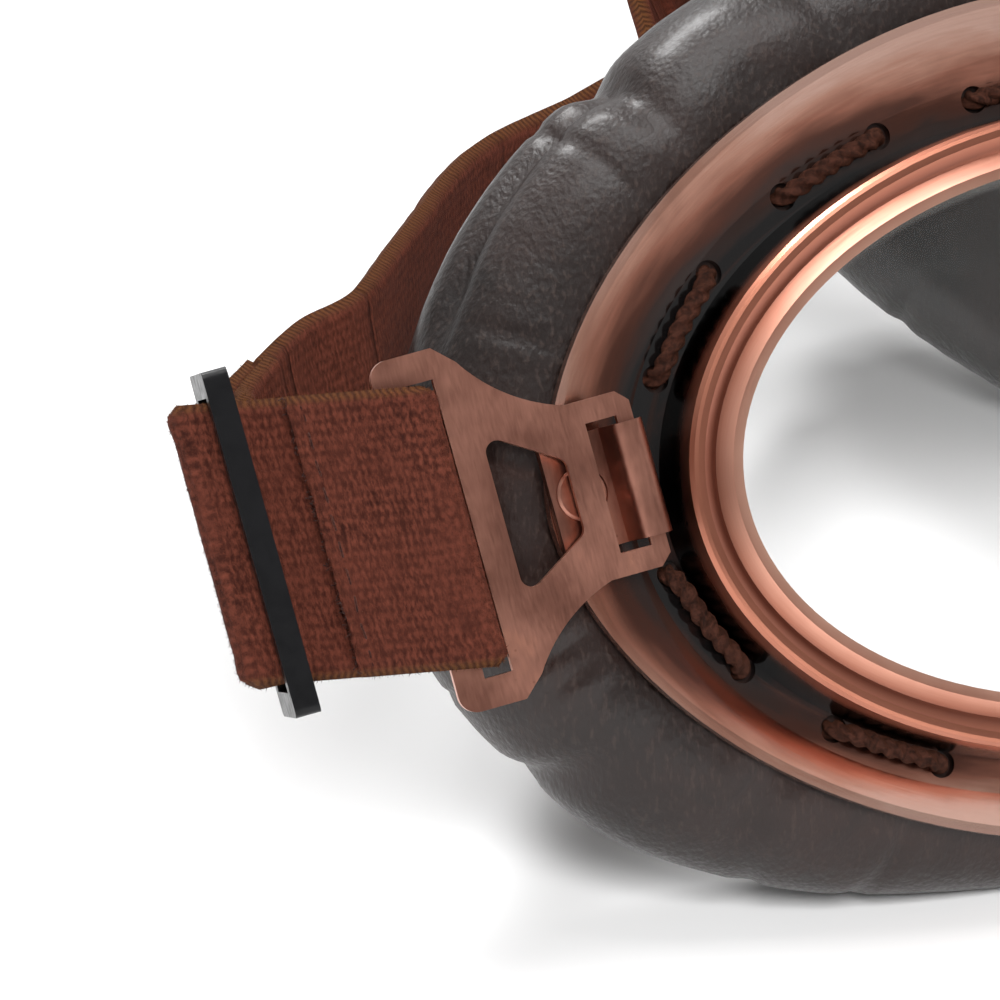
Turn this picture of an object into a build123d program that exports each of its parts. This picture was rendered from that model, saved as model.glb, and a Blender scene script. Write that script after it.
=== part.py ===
from build123d import *
from math import asin, cos, hypot, pi, radians, sin
import os

# Aviator flying goggles: two oval eye cups on a nose link, a buckle on each temple
# and an elastic head strap with a slide ring at each end.
# They stand as photographed: folded at the nose to a V, leaning back on the pads.
# Frame: Z up, the nose link faces the front (-Y), X runs from temple to temple. The
# origin is on the table under the middle of the whole object.
# A cup is drawn in its own frame first: origin at the middle of the lens opening,
# X towards the nose, Y back from the lens, Z up. The other cup is its mirror image.

# Whole object
lean_angle = 25
fold_angle = 52
link_half = 7
link_level = 42.2
link_front = 58.1
clearance = 0.1
overrun = 4

# Lens and bezel
lens_half_w = 36.2
lens_half_h = 23.25
lens_lap = 1.7
lens_thick = 2
bezel_depth = 6.2
bezel_wall = 0.8
crest_offset = 4.1
foot_offset = 5.3
crest_round = 0.6
lip_width = 0.9
valley_offset = 2.2
valley_depth = 0.8
lip_thick = 1.7
gasket_thick = 1.2
retainer_thick = 0.6

# Front plate
plate_half_w = 51
plate_half_h = 37.2
plate_shift_x = -1
plate_shift_z = 1.6
plate_power = 1.8
plate_thick = 1
plate_dish = 0.85
plate_rim = 0.8
plate_flat_offset = 8.3
plate_bore_offset = 4.6

# Lace
lace_dia = 1.9
lace_hole_dia = 2.4
lace_side_offset = 6.6
lace_top_offset = 6.85
lace_shift_z = 0.4
lace_tab_z = 3.1
lace_tab_gap = 17.2
lace_stitch = 10.5
lace_stitches = 11
lace_bend_share = 0.62
lace_room = 0.6

# Leather pad and foam
skin_thick = 1.2
hem_thick = 1.1
hem_inset = 1.5
pad_inner_inset = 9.5
pad_depth_temple = 25.5
pad_depth_brow = 21.2
pad_depth_nose = 9.5
pad_depth_cheek = 19.3
pad_bulge_temple = 9.4
pad_bulge_brow = 9
pad_bulge_nose = -4.5
pad_bulge_cheek = 2.2
pad_jowl = 2.6
pad_swell = 2
shoulder_share = 0.45
widest_share = 0.45
slant_share = 0.8
outer_back_share = 0.86
inner_back_share = 0.82
pad_sections = 12
foam_gap = 0.15

# Temple tab, its bar and rivet
tab_z = 3.1
tab_height = 10
strip_thick = 0.4
bar_x = -44.6
bar_y = 2
bar_width = 1.4
buckle_thick = 1.2
tab_run = 7.4
tab_base_y = 4.5
rivet_dia = 1.6
rivet_head_dia = 4.6
rivet_head_height = 0.36
rivet_from_bar = 4.6
strap_tilt = 5
strap_yaw = 13

# Nose link and nose tabs
nose_bar_x = 54
nose_bar_y = 3.4
nose_bar_z = 2
nose_tab_height = 8
nose_tab_from = 5.2
nose_tab_to = 9.4
nose_loop_height = 7
link_height = 12
link_bar_width = 1.4
nose_rivet_from_bar = 7.4
nose_rivet_head_dia = 2.8

# Buckle
buckle_half_h = 15.4
buckle_neck_half = 7.7
buckle_waist_run = 4.8
buckle_curve_run = 9.4
buckle_curve_half = 10.1
buckle_shoulder_run = 12.7
buckle_shoulder_half = 13.7
buckle_length = 20.1
tab_slot_half = 5.7
tab_slot_width = 2.75
window_run = 5.9
window_width = 6.4
window_half_in = 3.2
window_half_out = 7.2
strap_slot_run = 15
strap_slot_width = 2.5
strap_slot_half = 12.8
buckle_corner = 1.6
window_corner = 1

# Strap and slide ring
strap_width = 24.6
strap_thick = 1.9
strap_gap = 0.15
strap_end_run = 27.6
strap_fold_run = 37.3
slider_run = 32.8
slider_bar_width = 2.2
slider_bar_thick = 1.8
slider_wall = 2.2
slider_rear_back = 8.4
slider_room = 0.6
slider_round_share = 0.45
tail_run = 21
tail_back = 6.6
tail_mid_share = 0.6
merge_share = 1.5
turn_share = 0.3
turn_depth_share = 0.75
inside_share = 0.6
neck_share = 1.15
dome_taper = 50
bartack_width = 1.6
bartack_height = 0.5

# Head strap: a loop on each slide ring, and the run between them with its sag
head_turn = 58
head_loop_length = 11
head_twist_run = 40
head_route = [
    (0.74, -2.6), (0.52, -1.5), (0.3, -0.4), (0.1, -1.4), (-0.08, -6), (-0.26, -9.5),
    (-0.44, -7.5), (-0.62, -2.6), (-0.78, -1.2),
]

# Sizes that follow from the ones above
plate_seat = bezel_depth + clearance / 2
plate_rim_y = plate_seat - plate_dish
plate_back = plate_seat + plate_thick
hem_back = plate_back + clearance / 2 + hem_thick
pad_front = plate_back + clearance / 2
loop_inner = hypot(bar_width, buckle_thick) / 2 + clearance
loop_outer = loop_inner + strip_thick

# Where the cup and its strap stand
nose_turn = Pos(-link_half, -link_front, link_level) * Rot(0, 0, -fold_angle)
nose_lean = Rot(-lean_angle, 0, 0)
cup_place = nose_turn * nose_lean * Pos(-nose_bar_x, -nose_bar_y, -nose_bar_z)
tab_place = cup_place * Pos(bar_x, bar_y, tab_z) * Rot(0, -strap_tilt, 0)
strap_place = tab_place * Rot(0, 0, -strap_yaw)
nose_place = cup_place * Pos(nose_bar_x, 0, nose_bar_z)


# Outlines

def facing(y, z=0):
    return Plane(origin=(0, y, z), x_dir=(-1, 0, 0), z_dir=(0, 1, 0))


def lens_ring(offset, y):
    return Wire.make_ellipse(lens_half_w + offset, lens_half_h + offset, facing(y))


def lace_ring(offset, y):
    half_w = lens_half_w + lace_side_offset + offset
    half_h = lens_half_h + lace_top_offset + offset
    return Wire.make_ellipse(half_w, half_h, facing(y, lace_shift_z))


def plate_point(angle, outset=0):
    c, s = cos(angle), sin(angle)
    share = 2 / plate_power
    x = plate_half_w * (abs(c) ** share) * (1 if c >= 0 else -1)
    z = plate_half_h * (abs(s) ** share) * (1 if s >= 0 else -1)
    nx = c / plate_half_w
    nz = s / plate_half_h
    size = hypot(nx, nz)
    return x + plate_shift_x + outset * nx / size, z + plate_shift_z + outset * nz / size


def plate_ring(outset, y, count=48):
    points = []
    for step in range(count):
        x, z = plate_point(pi - 2 * pi * step / count, outset)
        points.append((x, y, z))
    return Wire([Edge.make_spline([Vector(p) for p in points], periodic=True)])


def stack(rings):
    return Solid.make_loft(rings, ruled=True)


def tube(ring, y_from, y_to):
    return stack([ring(y_from), ring(y_to)])


# Lens, bezel, gasket and retainer

def make_bezel():
    outer = stack([
        lens_ring(crest_offset, 0),
        lens_ring(crest_offset + crest_round / 2, crest_round / 4),
        lens_ring(crest_offset + crest_round, crest_round),
        lens_ring(foot_offset, bezel_depth),
    ])
    valley_top = crest_offset - crest_round
    valley = stack([
        lens_ring(valley_top, -overrun), lens_ring(valley_top, 0), lens_ring(valley_offset, valley_depth),
    ])
    valley -= stack([
        lens_ring(lip_width, -overrun), lens_ring(lip_width, 0), lens_ring(valley_offset, valley_depth),
    ])
    opening = tube(lambda y: lens_ring(0, y), -overrun, bezel_depth)
    hollow = stack([
        lens_ring(crest_offset + crest_round - bezel_wall, lip_thick),
        lens_ring(foot_offset - bezel_wall, bezel_depth),
        lens_ring(foot_offset - bezel_wall, bezel_depth + overrun),
    ])
    return outer - valley - opening - hollow


def make_lens():
    front = lip_thick + clearance
    return tube(lambda y: lens_ring(lens_lap, y), front, front + lens_thick)


def make_gasket():
    front = lip_thick + clearance
    seat = front + lens_thick
    reach = crest_offset + crest_round - bezel_wall - clearance
    body = tube(lambda y: lens_ring(reach, y), front, seat + gasket_thick)
    body -= tube(lambda y: lens_ring(lens_lap + clearance / 2, y), front - overrun, seat + clearance / 2)
    return body - tube(lambda y: lens_ring(lip_width, y), front - overrun, seat + overrun)


def make_retainer():
    front = lip_thick + clearance + lens_thick + gasket_thick + clearance / 2
    reach = foot_offset - bezel_wall - clearance * 3
    ring = tube(lambda y: lens_ring(reach, y), front, front + retainer_thick)
    return ring - tube(lambda y: lens_ring(lip_width * 2, y), front - overrun, front + overrun)


# Lace and its holes

def lace_walk():
    half_w = lens_half_w + lace_side_offset
    half_h = lens_half_h + lace_top_offset
    start = asin((lace_tab_z - lace_shift_z) / half_h)
    steps = 1440
    places = []
    run = 0
    last = None
    for step in range(steps + 1):
        angle = start + 2 * pi * step / steps
        point = (-half_w * cos(angle), lace_shift_z + half_h * sin(angle))
        if last:
            run += hypot(point[0] - last[0], point[1] - last[1])
        places.append((run, point))
        last = point
    return places


lace_places = lace_walk()


def lace_point(run):
    for (run_a, a), (run_b, b) in zip(lace_places, lace_places[1:]):
        if run_a <= run <= run_b:
            share = (run - run_a) / (run_b - run_a)
            return a[0] + (b[0] - a[0]) * share, a[1] + (b[1] - a[1]) * share
    return lace_places[0][1]


def lace_holes():
    around = lace_places[-1][0]
    period = (around - lace_tab_gap - lace_stitch) / (lace_stitches - 1)
    runs = []
    for index in range(lace_stitches):
        first = lace_tab_gap / 2 + index * period
        runs += [first, first + lace_stitch]
    return runs, around


def hole_pegs(y_from, y_to):
    runs, around = lace_holes()
    pegs = []
    for run in runs:
        x, z = lace_point(run)
        plane = Plane(origin=(x, y_from, z), x_dir=(1, 0, 0), z_dir=(0, 1, 0))
        pegs.append(Solid.make_cylinder(lace_hole_dia / 2, y_to - y_from, plane))
    return pegs


# The lace starts and ends behind the temple tab, where its two ends meet
def lace_route():
    runs, around = lace_holes()
    front = plate_seat - clearance - lace_dia / 2
    back = hem_back + clearance + lace_dia / 2
    first_x, first_z = lace_point(clearance)
    points = [(first_x, back, first_z)]
    for index, run in enumerate(runs):
        x, z = lace_point(run)
        to_front = index % 2 == 0
        points.append((x, back if to_front else front, z))
        points.append((x, front if to_front else back, z))
        last = index + 1 == len(runs)
        middle = around - clearance if last else (run + runs[index + 1]) / 2
        mid_x, mid_z = lace_point(middle)
        points.append((mid_x, front if to_front else back, mid_z))
    return points


def make_lace():
    path = FilletPolyline(*lace_route(), radius=lace_dia * lace_bend_share)
    start = Plane(origin=path @ 0, z_dir=path % 0)
    return sweep(start * Circle(lace_dia / 2), path=path)


# Front plate

def make_plate():
    flat_y = plate_seat + plate_thick
    body = stack([
        plate_ring(0, plate_rim_y), plate_ring(0, plate_rim_y + plate_thick),
        lens_ring(plate_flat_offset, flat_y),
    ])
    body -= stack([
        plate_ring(-plate_rim, plate_rim_y - overrun), plate_ring(-plate_rim, plate_rim_y),
        lens_ring(plate_flat_offset, plate_seat),
    ])
    body -= tube(lambda y: lens_ring(plate_bore_offset, y), plate_rim_y - overrun, flat_y + overrun)
    pegs = hole_pegs(plate_rim_y - overrun, flat_y + overrun)
    pegs.append(rivet_shank(rivet_dia / 2 + clearance / 2, *temple_rivet_place()))
    pegs.append(rivet_shank(rivet_dia / 2 + clearance / 2, *nose_rivet_place()))
    for peg in pegs:
        body -= peg
    return body


# Leather pad: sections square to the rim, each a flat front and three arcs

def blend_around(angle, nose, brow, temple, cheek):
    c, s = cos(angle), sin(angle)
    side = nose if c > 0 else temple
    end = brow if s > 0 else cheek
    share = abs(c) if c > 0 else c * c
    return side * share + end * (1 - share)


def pad_section(angle, inset, front):
    depth = blend_around(angle, pad_depth_nose, pad_depth_brow, pad_depth_temple, pad_depth_cheek)
    bulge = blend_around(angle, pad_bulge_nose, pad_bulge_brow, pad_bulge_temple, pad_bulge_cheek)
    bulge += pad_jowl * 2 * max(0, -cos(angle)) * max(0, -sin(angle))
    x, z = plate_point(angle)
    nx, nz = cos(angle) / plate_half_w, sin(angle) / plate_half_h
    size = hypot(nx, nz)

    def at(out, back):
        return Vector(x + out * nx / size, pad_front + back, z + out * nz / size)

    shoulder = bulge * shoulder_share - hem_inset
    outer_foot = at(-hem_inset - inset, front)
    outer_mid = at(bulge - inset, depth * widest_share)
    outer_back = at(shoulder - inset * slant_share, depth * outer_back_share - inset / 2)
    crown = at(shoulder / 2 - pad_inner_inset / 2, depth - inset)
    inner_back = at(-pad_inner_inset + inset * slant_share, depth * inner_back_share - inset / 2)
    inner_mid = at(-pad_inner_inset - pad_swell + inset, depth * widest_share)
    inner_foot = at(-pad_inner_inset + inset, front)
    return Wire([
        Edge.make_line(inner_foot, outer_foot),
        Edge.make_three_point_arc(outer_foot, outer_mid, outer_back),
        Edge.make_three_point_arc(outer_back, crown, inner_back),
        Edge.make_three_point_arc(inner_back, inner_mid, inner_foot),
    ])


def pad_ring(inset, front):
    quarter = pad_sections // 4
    pieces = []
    for part in range(4):
        angles = [2 * pi * (part * quarter + step) / pad_sections for step in range(quarter + 1)]
        pieces.append(Solid.make_loft([pad_section(angle, inset, front) for angle in angles]))
    return pieces[0].fuse(*pieces[1:])


def lace_channel():
    reach = lace_dia / 2 + lace_room
    back = hem_back + lace_dia + lace_room / 2
    return (
        tube(lambda y: lace_ring(reach, y), hem_back, back)
        - tube(lambda y: lace_ring(-reach, y), hem_back - overrun, back + overrun)
    )


def front_block(back):
    return tube(lambda y: plate_ring(overrun, y), pad_front - overrun * 2, back)


def make_pad():
    skin = pad_ring(0, 0) - pad_ring(skin_thick, -overrun) - lace_channel()
    hem = tube(lambda y: plate_ring(-hem_inset, y), pad_front, pad_front + hem_thick)
    hem -= tube(lambda y: lens_ring(plate_bore_offset, y), pad_front - overrun, hem_back + overrun)
    pad = skin + hem
    for peg in hole_pegs(pad_front - overrun, hem_back + overrun):
        pad -= peg
    for place in (temple_rivet_place(), nose_rivet_place()):
        pad -= rivet_shank(rivet_dia, *place)
    return pad


def make_foam():
    foam = pad_ring(skin_thick + foam_gap, -overrun) - lace_channel() - front_block(hem_back + foam_gap)
    for place in (temple_rivet_place(), nose_rivet_place()):
        foam -= rivet_shank(rivet_head_dia / 2, *place)
    return foam


def foot_block():
    reach = plate_half_w * 6
    return Pos(0, 0, -reach / 2) * Box(reach, reach, reach)


# Temple tab and its rivet

def temple_rivet_place():
    tilt = radians(strap_tilt)
    return bar_x - rivet_from_bar * cos(tilt), tab_z - rivet_from_bar * sin(tilt)


def nose_rivet_place():
    return nose_bar_x - nose_rivet_from_bar, nose_bar_z


def rivet_shank(radius, x, z):
    front = tab_base_y - overrun
    plane = Plane(origin=(x, front, z), x_dir=(1, 0, 0), z_dir=(0, 1, 0))
    return Solid.make_cylinder(radius, hem_back + overrun - front, plane)


def disc(radius, length):
    return extrude(Circle(radius), amount=length)


def make_side_tab():
    base_thick = strip_thick * 2
    drop = tab_base_y + base_thick - bar_y
    profile = Circle(loop_outer)
    profile += make_face(Polyline(
        (0, loop_outer), (-loop_outer, 0), (-loop_outer * neck_share, drop - base_thick),
        (-tab_run, drop - base_thick), (-tab_run, drop), (-loop_outer * neck_share, drop), close=True,
    ))
    profile -= Circle(loop_inner)
    tab = extrude(profile, amount=tab_height / 2, both=True)
    hole = Plane(origin=(-rivet_from_bar, -overrun, 0), z_dir=(0, 1, 0))
    return tab - hole * disc(rivet_dia / 2 + clearance / 4, overrun * 4)


def make_rivet(from_bar, point_y, head_dia):
    head = Plane(origin=(-from_bar, tab_base_y - point_y, 0), z_dir=(0, -1, 0))
    flat = rivet_head_height / 2
    body = head * disc(head_dia / 2, flat)
    dome = head * (Pos(0, 0, flat) * extrude(Circle(head_dia / 2), amount=flat, taper=dome_taper))
    shank_length = plate_back + clearance - tab_base_y
    back = Plane(origin=(-from_bar, tab_base_y - point_y, 0), z_dir=(0, 1, 0))
    shank = back * disc(rivet_dia / 2, shank_length)
    tail = back * (Pos(0, 0, shank_length) * disc(rivet_dia / 2 + strip_thick, strip_thick))
    return body + dome + shank + tail


# Nose tab: a base on the plate, and a loop that stands upright on the link's bar

def make_nose_tab():
    base_thick = strip_thick * 2
    run = nose_tab_to - nose_tab_from
    base_y = tab_base_y + base_thick / 2
    base_x = nose_bar_x - (nose_tab_from + nose_tab_to) / 2
    base = cup_place * Pos(base_x, base_y, nose_bar_z) * Box(run, base_thick, nose_tab_height)
    hole = cup_place * rivet_shank(rivet_dia / 2 + clearance / 4, *nose_rivet_place())
    start = cup_place * Pos(nose_bar_x - nose_tab_from, base_y, nose_bar_z) * Rot(0, 90, 0)
    end = nose_turn * Pos(-loop_inner - strip_thick / 2, 0, 0) * Rot(0, 90, 0)
    strip = loft([
        start * Rectangle(nose_tab_height, base_thick), end * Rectangle(nose_loop_height, base_thick),
    ])
    ring = extrude(Circle(loop_outer) - Circle(loop_inner), amount=nose_loop_height / 2, both=True)
    bore = extrude(Circle(loop_inner), amount=nose_loop_height, both=True)
    return (base - hole) + (strip - nose_turn * bore) + nose_turn * ring


# Buckle: drawn in its own plane, X towards the nose from the bar, Z up

def upright(sketch, thick):
    return Plane.XZ * extrude(sketch, amount=thick / 2, both=True)


def buckle_half_outline():
    nose_side = bar_width / 2
    step = window_corner
    corner = buckle_corner
    path = Polyline((nose_side, 0), (nose_side, buckle_neck_half - step))
    path += Line((nose_side, buckle_neck_half - step), (nose_side - step, buckle_neck_half))
    path += Line((nose_side - step, buckle_neck_half), (-buckle_waist_run, buckle_neck_half))
    path += ThreePointArc(
        (-buckle_waist_run, buckle_neck_half), (-buckle_curve_run, buckle_curve_half),
        (-buckle_shoulder_run, buckle_shoulder_half),
    )
    path += Line((-buckle_shoulder_run, buckle_shoulder_half), (-strap_slot_run + step / 2, buckle_half_h))
    path += Line((-strap_slot_run + step / 2, buckle_half_h), (-buckle_length + corner, buckle_half_h))
    path += TangentArc(
        (-buckle_length + corner, buckle_half_h), (-buckle_length, buckle_half_h - corner), tangent=(-1, 0),
    )
    path += Polyline((-buckle_length, buckle_half_h - corner), (-buckle_length, 0), (nose_side, 0))
    return make_face(path)


def make_buckle():
    half = buckle_half_outline()
    outline = half + mirror(half, Plane.XZ)
    slot_x = -bar_width / 2 - tab_slot_width / 2
    outline -= Pos(slot_x, 0) * Rectangle(tab_slot_width, tab_slot_half * 2)
    window = make_face(Polyline(
        (-window_run, window_half_in), (-window_run - window_width, window_half_out),
        (-window_run - window_width, -window_half_out), (-window_run, -window_half_in), close=True,
    ))
    outline -= fillet(window.vertices(), window_corner)
    slot = Rectangle(strap_slot_width, strap_slot_half * 2)
    outline -= Pos(-strap_slot_run - strap_slot_width / 2, 0) * slot
    return upright(outline, buckle_thick)


# Strap end: over the outer bar, through the slot, back behind, folded and cut off

tilt_sine = sin(radians(strap_tilt)) * cos(radians(lean_angle))
yaw_sine = sin(radians(strap_yaw)) * sin(radians(lean_angle))
strap_rise = (yaw_sine + tilt_sine) / cos(radians(lean_angle)) / cos(radians(strap_tilt))


def rise_at(run):
    return (run - strap_slot_run) * strap_rise


def level_band(run_from, run_to):
    half = strap_width / 2
    face = make_face(Polyline(
        (-run_from, rise_at(run_from) - half), (-run_to, rise_at(run_to) - half),
        (-run_to, rise_at(run_to) + half), (-run_from, rise_at(run_from) + half), close=True,
    ))
    return upright(face, strap_thick * 16)


def make_strap_end():
    near = strap_slot_run + strap_gap
    far = near + strap_thick
    turn = strap_thick * turn_share
    bar = buckle_thick / 2 + strap_gap
    outer = bar + strap_thick
    join = strap_gap / 2
    merge = buckle_length + strap_thick * merge_share
    fold = strap_fold_run
    inner_fold = fold - strap_thick
    tail_gap = join + strap_thick + strap_gap
    tail_mid = tail_back * tail_mid_share
    profile = make_face(Polyline(
        (-near, 0), (-near - turn, -outer * turn_depth_share), (-near - strap_thick, -outer),
        (-buckle_length, -outer), (-merge, -(join + strap_thick)), (-strap_end_run, -(join + strap_thick)),
        (-strap_end_run, -join), (-merge, -join), (-buckle_length - strap_gap, -bar),
        (-far - strap_gap, -bar), (-far, -bar * inside_share), (-far, bar * inside_share),
        (-far - strap_gap, bar), (-buckle_length - strap_gap, bar),
        (-merge, join), (-fold + strap_thick / 2, join), (-fold, join + strap_thick / 2),
        (-fold, tail_gap + strap_thick / 2), (-fold + strap_thick / 2, tail_gap + strap_thick),
        (-slider_run, tail_gap + strap_thick + strap_gap), (-strap_end_run, tail_mid + strap_thick),
        (-tail_run, tail_back + strap_thick), (-tail_run, tail_back), (-strap_end_run, tail_mid),
        (-slider_run, tail_gap + strap_gap), (-inner_fold, tail_gap), (-inner_fold, tail_gap - strap_gap),
        (-merge, join + strap_thick), (-buckle_length, outer), (-near - strap_thick, outer),
        (-near - turn, outer * turn_depth_share), close=True,
    ))
    band = extrude(profile, amount=strap_width * 1.5, both=True)
    return band & level_band(strap_slot_run - overrun, strap_fold_run + overrun)


# Slide ring round the strap behind the cut end

def slider_middle():
    return -clearance + slider_rear_back / 2


def rear_bar_y():
    return -clearance + slider_rear_back + slider_bar_thick / 2


def make_slider():
    half_inside = strap_width / 2 + slider_room
    height = (half_inside + slider_wall) * 2
    depth = slider_rear_back + slider_bar_thick * 2
    centre = Pos(-slider_run, slider_middle(), rise_at(slider_run))
    block = centre * Box(slider_bar_width, depth, height)
    gap = centre * Box(slider_bar_width * 3, slider_rear_back, half_inside * 2)
    return fillet(block.edges().filter_by(Axis.X), slider_bar_thick * slider_round_share) - gap


def make_bartack():
    y = -(strap_gap / 2 + strap_thick + bartack_height / 2 + strap_gap / 4)
    place = Pos(-strap_end_run + bartack_width, y, rise_at(strap_end_run - bartack_width))
    return place * Box(bartack_width, bartack_height, strap_width - strap_thick * 2)


# Head strap: an end loop round the slide ring's rear bar, then one run to the other end

loop_bore = hypot(slider_bar_width, slider_bar_thick) / 2 + clearance * 2
loop_place = strap_place * Pos(-slider_run, rear_bar_y(), rise_at(slider_run)) * Rot(0, 0, head_turn)


def make_head_loop():
    outer = loop_bore + strap_thick
    shut = strap_thick + strap_gap / 2
    profile = Circle(outer) + make_face(Polyline(
        (0, outer), (outer * 1.5, shut), (head_loop_length, shut),
        (head_loop_length, -shut), (outer * 1.5, -shut), (0, -outer), close=True,
    ))
    profile -= Circle(loop_bore)
    profile -= make_face(Polyline(
        (0, loop_bore), (outer * 1.5, strap_gap / 2), (outer * 1.5, -strap_gap / 2),
        (0, -loop_bore), close=True,
    ))
    half = strap_width / 2
    rise = head_rise() * head_loop_length
    band = make_face(Polyline(
        (-outer * 2, -half), (0, -half), (head_loop_length, rise - half),
        (head_loop_length, rise + half), (0, half), (-outer * 2, half), close=True,
    ))
    return extrude(profile, amount=strap_width, both=True) & upright(band, outer * 4)


def loop_direction(x, z):
    return ((loop_place * Pos(x, 0, z)).position - loop_place.position).normalized()


def head_rise():
    return -loop_direction(1, 0).Z / loop_direction(0, 1).Z


def head_points():
    run = head_loop_length + strap_gap
    far = run + strap_width / 3
    joint = (loop_place * Pos(run, 0, head_rise() * run)).position
    beyond = (loop_place * Pos(far, 0, head_rise() * far)).position
    tilt = loop_direction(0, 1)
    places = [(joint, tilt), (beyond, tilt)]
    reach = -joint.X
    for across, sag in head_route:
        place = Vector(-reach * across, joint.Y + sag, joint.Z)
        travelled = (place - joint).length
        share = max(0, 1 - travelled / head_twist_run)
        from_other = (Vector(reach, joint.Y, joint.Z) - place).length
        other_share = max(0, 1 - from_other / head_twist_run)
        lean = tilt * share + Vector(-tilt.X, tilt.Y, tilt.Z) * other_share
        lean += Vector(0, 0, 1) * (1 - share - other_share)
        places.append((place, lean.normalized()))
    for place, lean in ((beyond, tilt), (joint, tilt)):
        places.append((Vector(-place.X, place.Y, place.Z), Vector(-lean.X, lean.Y, lean.Z)))
    return places


def section_face(centre, along, up):
    return Plane(origin=centre, x_dir=up, z_dir=along) * Rectangle(strap_width, strap_thick)


def make_head_strap():
    places = head_points()
    faces = []
    for index, (place, up) in enumerate(places):
        before = places[max(index - 1, 0)][0]
        after = places[min(index + 1, len(places) - 1)][0]
        along = after - before
        along = (along - up * along.dot(up)).normalized()
        faces.append(section_face(place, along, up))
    return loft(faces)


# Nose link: a stamped plate with an upright bar at each end

def make_link():
    reach = link_half + link_bar_width / 2
    link = Rectangle(reach * 2, link_height)
    link = fillet(link.vertices(), link_bar_width)
    slot_width = loop_outer + clearance * 3 - link_bar_width / 2
    slot_at = link_half - link_bar_width / 2 - slot_width / 2
    slot = Rectangle(slot_width, nose_loop_height + clearance * 8)
    for side in (-1, 1):
        link -= Pos(side * slot_at, 0) * slot
    return Pos(0, -link_front, link_level) * upright(link, buckle_thick)


# Build every piece and write one file for each

def build_side():
    return {
        "lens": cup_place * make_lens(),
        "bezel": cup_place * make_bezel(),
        "lens_gasket": cup_place * make_gasket(),
        "lens_retainer": cup_place * make_retainer(),
        "front_plate": cup_place * make_plate(),
        "lace": cup_place * make_lace(),
        "leather_pad": cup_place * make_pad() - foot_block(),
        "pad_foam": cup_place * make_foam(),
        "side_tab": tab_place * make_side_tab(),
        "side_rivet": tab_place * make_rivet(rivet_from_bar, bar_y, rivet_head_dia),
        "nose_tab": make_nose_tab(),
        "nose_rivet": nose_place * make_rivet(nose_rivet_from_bar, 0, nose_rivet_head_dia),
        "buckle": strap_place * make_buckle(),
        "strap_end": strap_place * make_strap_end(),
        "strap_bartack": strap_place * make_bartack(),
        "slider": strap_place * make_slider(),
        "head_loop": loop_place * make_head_loop(),
    }


def main():
    os.makedirs("parts", exist_ok=True)
    pieces = {"nose_link": make_link(), "head_strap": make_head_strap()}
    for name, piece in build_side().items():
        pieces[name + "_right"] = piece
        pieces[name + "_left"] = piece.mirror(Plane.YZ)
    for name, piece in pieces.items():
        export_step(piece, "parts/" + name + ".step")
        box = piece.bounding_box()
        print(name, round(piece.volume, 1), len(piece.solids()), box.min, box.max)


main()
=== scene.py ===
import bmesh
import bpy
import random
from math import asin, atan2, copysign, cos, degrees, exp, hypot, pi, radians, sin, sqrt
from mathutils import Matrix, Vector, noise


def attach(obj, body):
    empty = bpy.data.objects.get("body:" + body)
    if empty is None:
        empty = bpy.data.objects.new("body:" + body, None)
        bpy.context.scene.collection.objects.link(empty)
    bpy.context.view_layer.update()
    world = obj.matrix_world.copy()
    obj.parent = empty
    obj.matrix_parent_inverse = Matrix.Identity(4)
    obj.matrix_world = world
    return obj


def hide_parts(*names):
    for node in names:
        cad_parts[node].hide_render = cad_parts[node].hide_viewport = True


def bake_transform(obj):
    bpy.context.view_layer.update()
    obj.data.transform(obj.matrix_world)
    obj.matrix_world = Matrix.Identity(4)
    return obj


# Flying goggles, dressed over their CAD frame. Lengths in the dictionaries are in millimetres.
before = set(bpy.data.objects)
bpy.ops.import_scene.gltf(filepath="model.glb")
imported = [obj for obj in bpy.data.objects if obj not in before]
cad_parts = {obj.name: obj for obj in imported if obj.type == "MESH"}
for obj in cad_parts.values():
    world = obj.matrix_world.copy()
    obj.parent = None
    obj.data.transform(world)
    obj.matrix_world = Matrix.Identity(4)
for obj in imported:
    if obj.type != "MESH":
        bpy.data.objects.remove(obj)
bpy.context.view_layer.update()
mm = 0.001
sides = {"right": 1, "left": -1}

# where a cup and its strap stand, as in the part's source
stand = {
    "link": (-7, -58.1, 42.2), "noseBar": (54, 3.4, 2), "fold": 52, "lean": 25,
    "bar": (-44.6, 2, 3.1), "strapTilt": 5, "strapYaw": 13,
    "slotRun": 15, "sliderRun": 32.8, "rearBar": 9.2, "headTurn": 58,
}
lensSize = {"halfW": 36.2, "halfH": 23.25}


def turned(angle, axis):
    return Matrix.Rotation(radians(angle), 4, axis)


def cupFrame():
    back = Vector(stand["noseBar"]) * -1
    return (
        Matrix.Translation(Vector(stand["link"])) @ turned(-stand["fold"], "Z")
        @ turned(-stand["lean"], "X") @ Matrix.Translation(back)
    )


def strapFrame():
    bar = Matrix.Translation(Vector(stand["bar"]))
    return cupFrame() @ bar @ turned(-stand["strapTilt"], "Y") @ turned(-stand["strapYaw"], "Z")


def strapRise():
    lean, tilt, yaw = (radians(stand[name]) for name in ("lean", "strapTilt", "strapYaw"))
    climb = sin(yaw) * sin(lean) + sin(tilt) * cos(lean)
    return climb / cos(lean) / cos(tilt)


def riseAt(run):
    return (run - stand["slotRun"]) * strapRise()


def loopFrame():
    run = stand["sliderRun"]
    bar = Matrix.Translation((-run, stand["rearBar"], riseAt(run)))
    return strapFrame() @ bar @ turned(stand["headTurn"], "Z")


def inRow(matrix, point, sideName):
    place = (matrix @ Vector(point)) * mm
    return Vector((place.x * sides[sideName], place.y, place.z))


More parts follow.
